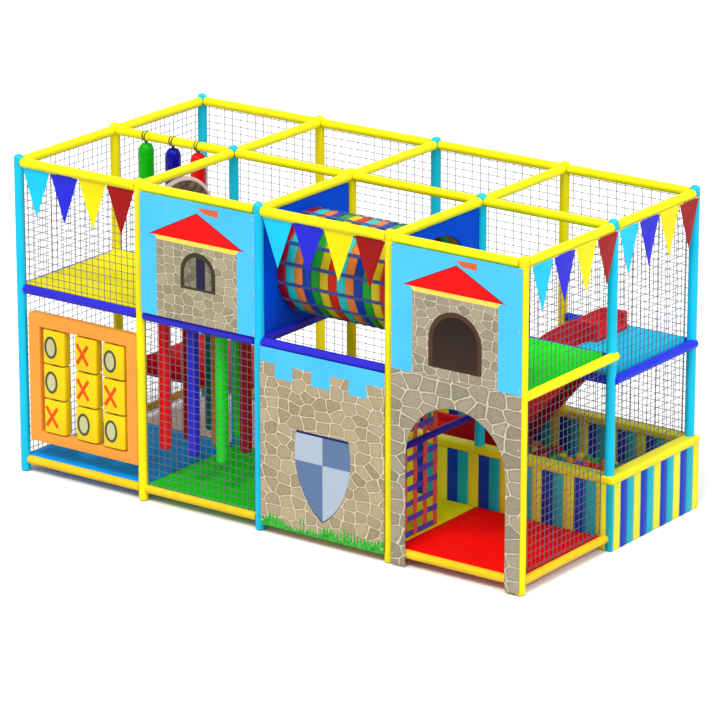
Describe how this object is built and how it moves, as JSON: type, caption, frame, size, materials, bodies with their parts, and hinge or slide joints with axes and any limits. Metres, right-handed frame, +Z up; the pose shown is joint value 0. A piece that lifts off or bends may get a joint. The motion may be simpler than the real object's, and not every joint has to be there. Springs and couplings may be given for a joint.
{
  "type": "play maze",
  "caption": "Two-level indoor play maze: padded post frame with decks, crawl tunnel, slide, ball pit, hanging poles, punch bags, turning game blocks and safety nets.",
  "frame": {"origin": "centre of the foot of the middle post, third of five along the length and second of three in depth, on the floor", "axes": "+X along the length, to the right seen from the front panels, +Y from the front row of posts to the back row, +Z up"},
  "size_m": [4.8623, 2.4515, 2.612],
  "materials": {
    "sleeve_cyan": "padded sleeve",
    "sleeve_yellow": "padded sleeve",
    "deck_yellow": "vinyl",
    "deck_green": "vinyl",
    "deck_light_blue": "vinyl",
    "mat_blue": "vinyl",
    "mat_green": "vinyl",
    "mat_yellow": "vinyl",
    "red_vinyl": "vinyl",
    "blue_vinyl": "vinyl",
    "printed_panel": "printed vinyl",
    "tunnel_vinyl": "vinyl",
    "pit_wall_vinyl": "vinyl over foam",
    "balls": "moulded",
    "strap_webbing": "woven webbing",
    "board_orange": "satin",
    "block_yellow": "satin",
    "rod_steel": "brushed",
    "bag_green": "vinyl",
    "bag_blue": "vinyl",
    "bag_red": "vinyl",
    "pole_foam": "foam sleeve",
    "net_cord": "knotted cord",
    "pennant_vinyl": "vinyl"
  },
  "bodies": {
    "root": {"frame_1": "sleeve_cyan", "frame_2": "sleeve_yellow", "frame_3": "sleeve_cyan", "frame_4": "sleeve_yellow", "frame_5": "sleeve_cyan", "top_rail_front": "sleeve_yellow", "top_rail_middle": "sleeve_yellow", "top_rail_back": "sleeve_yellow", "deck_walkway": "deck_yellow", "deck_green": "deck_green", "deck_slide": "deck_light_blue", "mat_blue": "mat_blue", "mat_green": "mat_green", "mat_yellow": "mat_yellow", "mat_red": "red_vinyl", "tower_panel": "printed_panel", "wall_panel": "printed_panel", "gate_panel": "printed_panel", "tunnel_bulkhead_left": "blue_vinyl", "tunnel_bulkhead_right": "blue_vinyl", "crawl_tunnel": "tunnel_vinyl", "inner_arch": "printed_panel", "slide": "red_vinyl", "ball_pit_wall": "pit_wall_vinyl", "ball_bed": "balls", "strap_barrier": "strap_webbing", "step_platform": "red_vinyl", "game_board": "board_orange", "game_rod_1": "rod_steel", "game_rod_2": "rod_steel", "game_rod_3": "rod_steel", "net_left": "net_cord", "net_back": "net_cord", "net_right": "net_cord", "net_front_upper": "net_cord", "net_front_lower": "net_cord", "bunting_front_left": "pennant_vinyl", "bunting_front_right": "pennant_vinyl", "bunting_side": "pennant_vinyl"},
    "block_11": {"game_block_11": "block_yellow"},
    "block_12": {"game_block_12": "block_yellow"},
    "block_13": {"game_block_13": "block_yellow"},
    "block_21": {"game_block_21": "block_yellow"},
    "block_22": {"game_block_22": "block_yellow"},
    "block_23": {"game_block_23": "block_yellow"},
    "block_31": {"game_block_31": "block_yellow"},
    "block_32": {"game_block_32": "block_yellow"},
    "block_33": {"game_block_33": "block_yellow"},
    "bag_green": {"punch_bag_green": "bag_green"},
    "bag_blue": {"punch_bag_blue": "bag_blue"},
    "bag_red": {"punch_bag_red": "bag_red"},
    "pole_11": {"hanging_pole_11": "pole_foam"},
    "pole_12": {"hanging_pole_12": "pole_foam"},
    "pole_13": {"hanging_pole_13": "pole_foam"},
    "pole_21": {"hanging_pole_21": "pole_foam"},
    "pole_22": {"hanging_pole_22": "pole_foam"},
    "pole_23": {"hanging_pole_23": "pole_foam"},
    "pole_31": {"hanging_pole_31": "pole_foam"},
    "pole_32": {"hanging_pole_32": "pole_foam"},
    "pole_33": {"hanging_pole_33": "pole_foam"}
  },
  "joints": [
    {"name": "block_11_turn", "type": "hinge", "parent": "root", "child": "block_11", "pos_m": [-2.0158, -1.17, 1.0897], "axis": [0, 0, 1], "continuous": true},
    {"name": "block_12_turn", "type": "hinge", "parent": "root", "child": "block_12", "pos_m": [-1.69478, -1.17, 1.0897], "axis": [0, 0, 1], "continuous": true},
    {"name": "block_13_turn", "type": "hinge", "parent": "root", "child": "block_13", "pos_m": [-1.4175, -1.17, 1.0897], "axis": [0, 0, 1], "continuous": true},
    {"name": "block_21_turn", "type": "hinge", "parent": "root", "child": "block_21", "pos_m": [-2.0158, -1.17, 0.802], "axis": [0, 0, 1], "continuous": true},
    {"name": "block_22_turn", "type": "hinge", "parent": "root", "child": "block_22", "pos_m": [-1.69478, -1.17, 0.802], "axis": [0, 0, 1], "continuous": true},
    {"name": "block_23_turn", "type": "hinge", "parent": "root", "child": "block_23", "pos_m": [-1.4175, -1.17, 0.802], "axis": [0, 0, 1], "continuous": true},
    {"name": "block_31_turn", "type": "hinge", "parent": "root", "child": "block_31", "pos_m": [-2.0158, -1.17, 0.5143], "axis": [0, 0, 1], "continuous": true},
    {"name": "block_32_turn", "type": "hinge", "parent": "root", "child": "block_32", "pos_m": [-1.69478, -1.17, 0.5143], "axis": [0, 0, 1], "continuous": true},
    {"name": "block_33_turn", "type": "hinge", "parent": "root", "child": "block_33", "pos_m": [-1.4175, -1.17, 0.5143], "axis": [0, 0, 1], "continuous": true},
    {"name": "bag_green_swing", "type": "hinge", "parent": "root", "child": "bag_green", "pos_m": [-2.024, 0, 2.55], "axis": [1, 0, 0], "range_deg": [-45, 45]},
    {"name": "bag_blue_swing", "type": "hinge", "parent": "root", "child": "bag_blue", "pos_m": [-1.751, 0, 2.55], "axis": [1, 0, 0], "range_deg": [-45, 45]},
    {"name": "bag_red_swing", "type": "hinge", "parent": "root", "child": "bag_red", "pos_m": [-1.4995, 0, 2.55], "axis": [1, 0, 0], "range_deg": [-45, 45]},
    {"name": "pole_11_swing", "type": "hinge", "parent": "root", "child": "pole_11", "pos_m": [-1.076, -0.99, 1.4917], "axis": [1, 0, 0], "range_deg": [-7, 7]},
    {"name": "pole_12_swing", "type": "hinge", "parent": "root", "child": "pole_12", "pos_m": [-0.796, -0.99, 1.4917], "axis": [1, 0, 0], "range_deg": [-7, 7]},
    {"name": "pole_13_swing", "type": "hinge", "parent": "root", "child": "pole_13", "pos_m": [-0.516, -0.99, 1.4917], "axis": [1, 0, 0], "range_deg": [-7, 7]},
    {"name": "pole_21_swing", "type": "hinge", "parent": "root", "child": "pole_21", "pos_m": [-1.076, -0.69, 1.4917], "axis": [1, 0, 0], "range_deg": [-7, 7]},
    {"name": "pole_22_swing", "type": "hinge", "parent": "root", "child": "pole_22", "pos_m": [-0.796, -0.69, 1.4917], "axis": [1, 0, 0], "range_deg": [-7, 7]},
    {"name": "pole_23_swing", "type": "hinge", "parent": "root", "child": "pole_23", "pos_m": [-0.516, -0.69, 1.4917], "axis": [1, 0, 0], "range_deg": [-7, 7]},
    {"name": "pole_31_swing", "type": "hinge", "parent": "root", "child": "pole_31", "pos_m": [-1.076, -0.41, 1.4917], "axis": [1, 0, 0], "range_deg": [-7, 7]},
    {"name": "pole_32_swing", "type": "hinge", "parent": "root", "child": "pole_32", "pos_m": [-0.796, -0.41, 1.4917], "axis": [1, 0, 0], "range_deg": [-7, 7]},
    {"name": "pole_33_swing", "type": "hinge", "parent": "root", "child": "pole_33", "pos_m": [-0.516, -0.41, 1.4917], "axis": [1, 0, 0], "range_deg": [-7, 7]}
  ]
}
